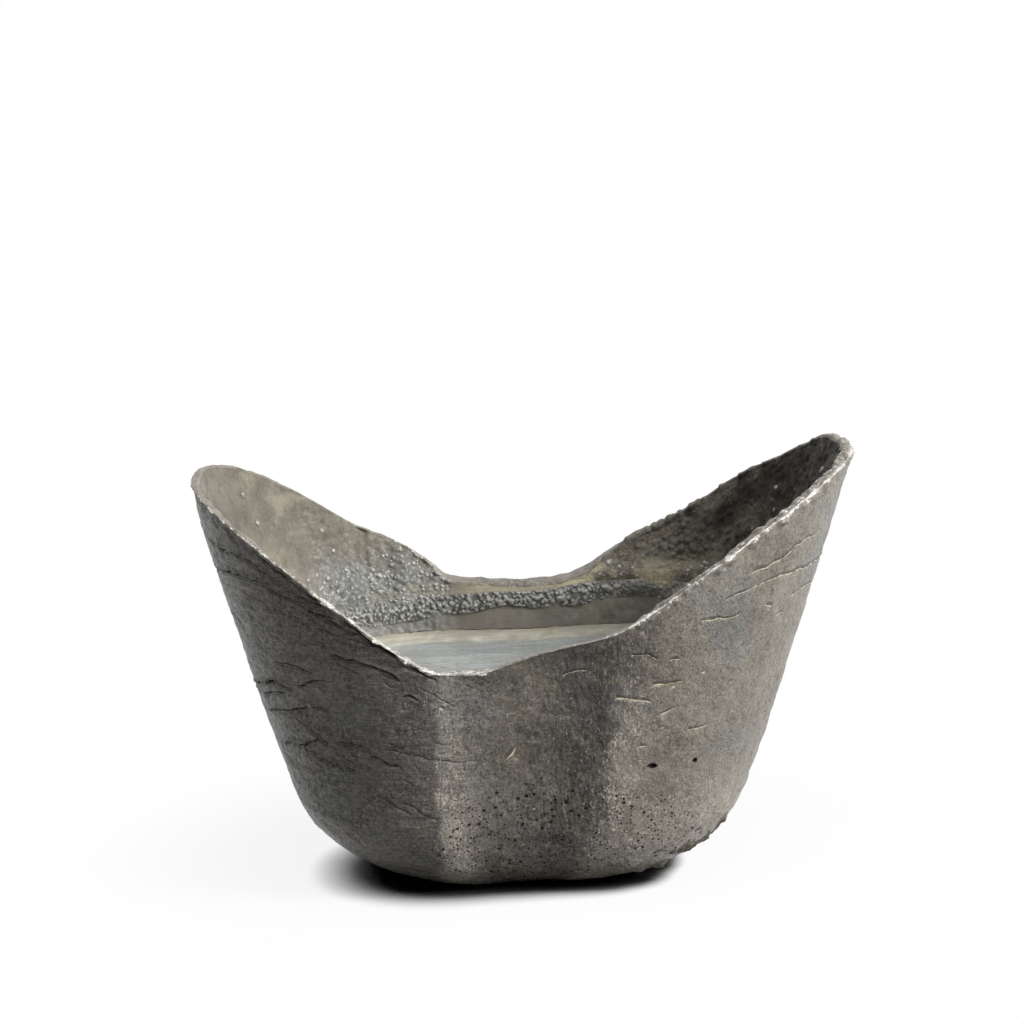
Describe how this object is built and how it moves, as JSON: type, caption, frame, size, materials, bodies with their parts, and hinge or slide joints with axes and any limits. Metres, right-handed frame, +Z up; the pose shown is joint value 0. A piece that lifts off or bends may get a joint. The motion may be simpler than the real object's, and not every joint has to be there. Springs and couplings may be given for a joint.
{
  "type": "silver sycee ingot",
  "caption": "Cast silver boat ingot with two raised ears, a drawn-in waist, a rounded foot and a shallow hollow inside, for storing and weighing out silver.",
  "frame": {"origin": "centre of the flat foot, on the surface that the ingot stands on", "axes": "+X along the boat to the right ear, +Y to the back, +Z up"},
  "size_m": [0.119, 0.0807, 0.0755],
  "materials": {
    "tarnished_silver": "rough cast silver, dark grey-brown tarnish, worn bright along the rim",
    "floor_silver": "smooth blue-grey silver skin",
    "ledge_silver": "pale yellowish silver, satin",
    "droplet_silver": "grainy chilled droplets, bright on their crowns",
    "mould_crust": "matt brown mould sand and slag"
  },
  "bodies": {
    "root": {"body_block": "tarnished_silver", "left_ear": "tarnished_silver", "right_ear": "tarnished_silver", "front_lip": "tarnished_silver", "back_lip": "tarnished_silver", "floor_pool": "floor_silver", "floor_ledge": "ledge_silver", "bead_collar": "droplet_silver", "spatter_beads": "droplet_silver", "foot_crust": "mould_crust"}
  },
  "joints": []
}
